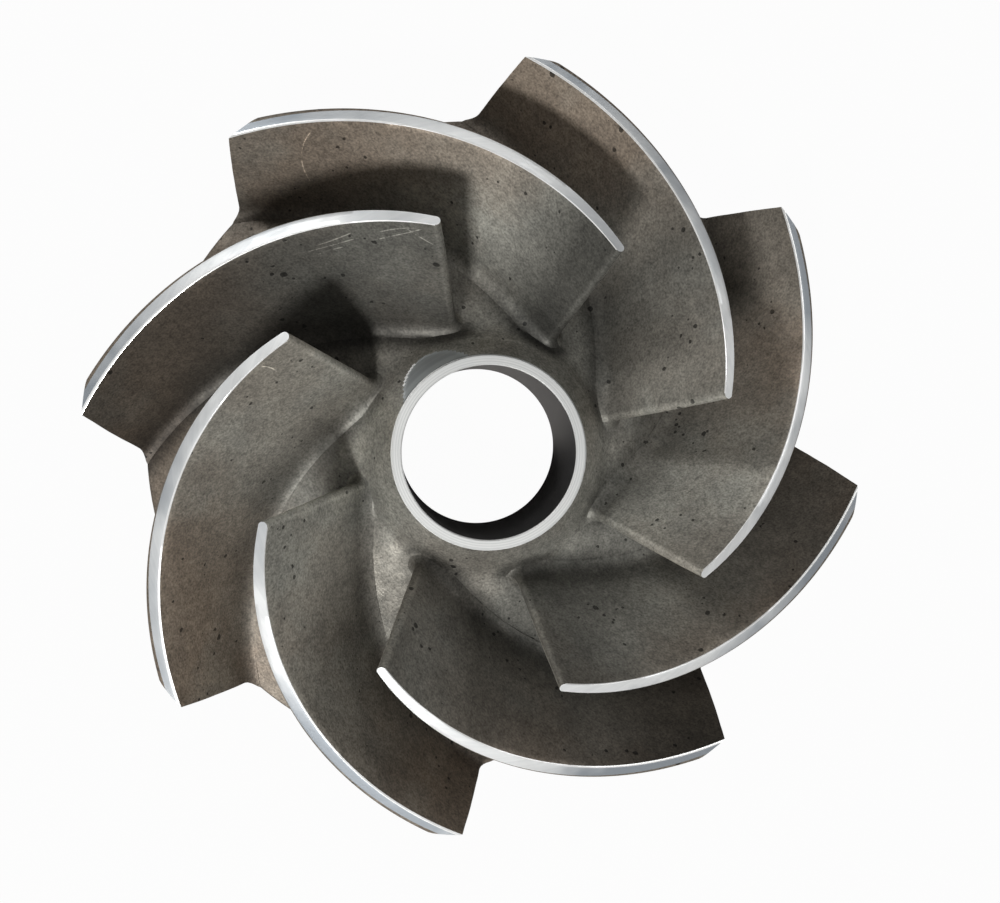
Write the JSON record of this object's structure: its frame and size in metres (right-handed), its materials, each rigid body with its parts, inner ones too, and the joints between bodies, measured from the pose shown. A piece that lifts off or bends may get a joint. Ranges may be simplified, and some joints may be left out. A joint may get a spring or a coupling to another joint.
{
  "type": "semi-open pump impeller",
  "caption": "Semi-open mixed-flow pump impeller cast in one piece: backward-curved vanes on a conical hub disc, with a smooth shaft bore and machined faces.",
  "frame": {"origin": "on the shaft axis, in the plane of the back face that the impeller rests on", "axes": "+Z along the shaft axis towards the eye (inlet side); +X through one vane's tip at the outlet; seen from +Z the vanes run anticlockwise outwards"},
  "size_m": [0.2786, 0.2786, 0.0853],
  "materials": {
    "cast_stainless": "blasted cast surface, with turned faces on the vane tips and the hub end"
  },
  "bodies": {
    "root": {"impeller_casting": "cast_stainless"}
  },
  "joints": []
}
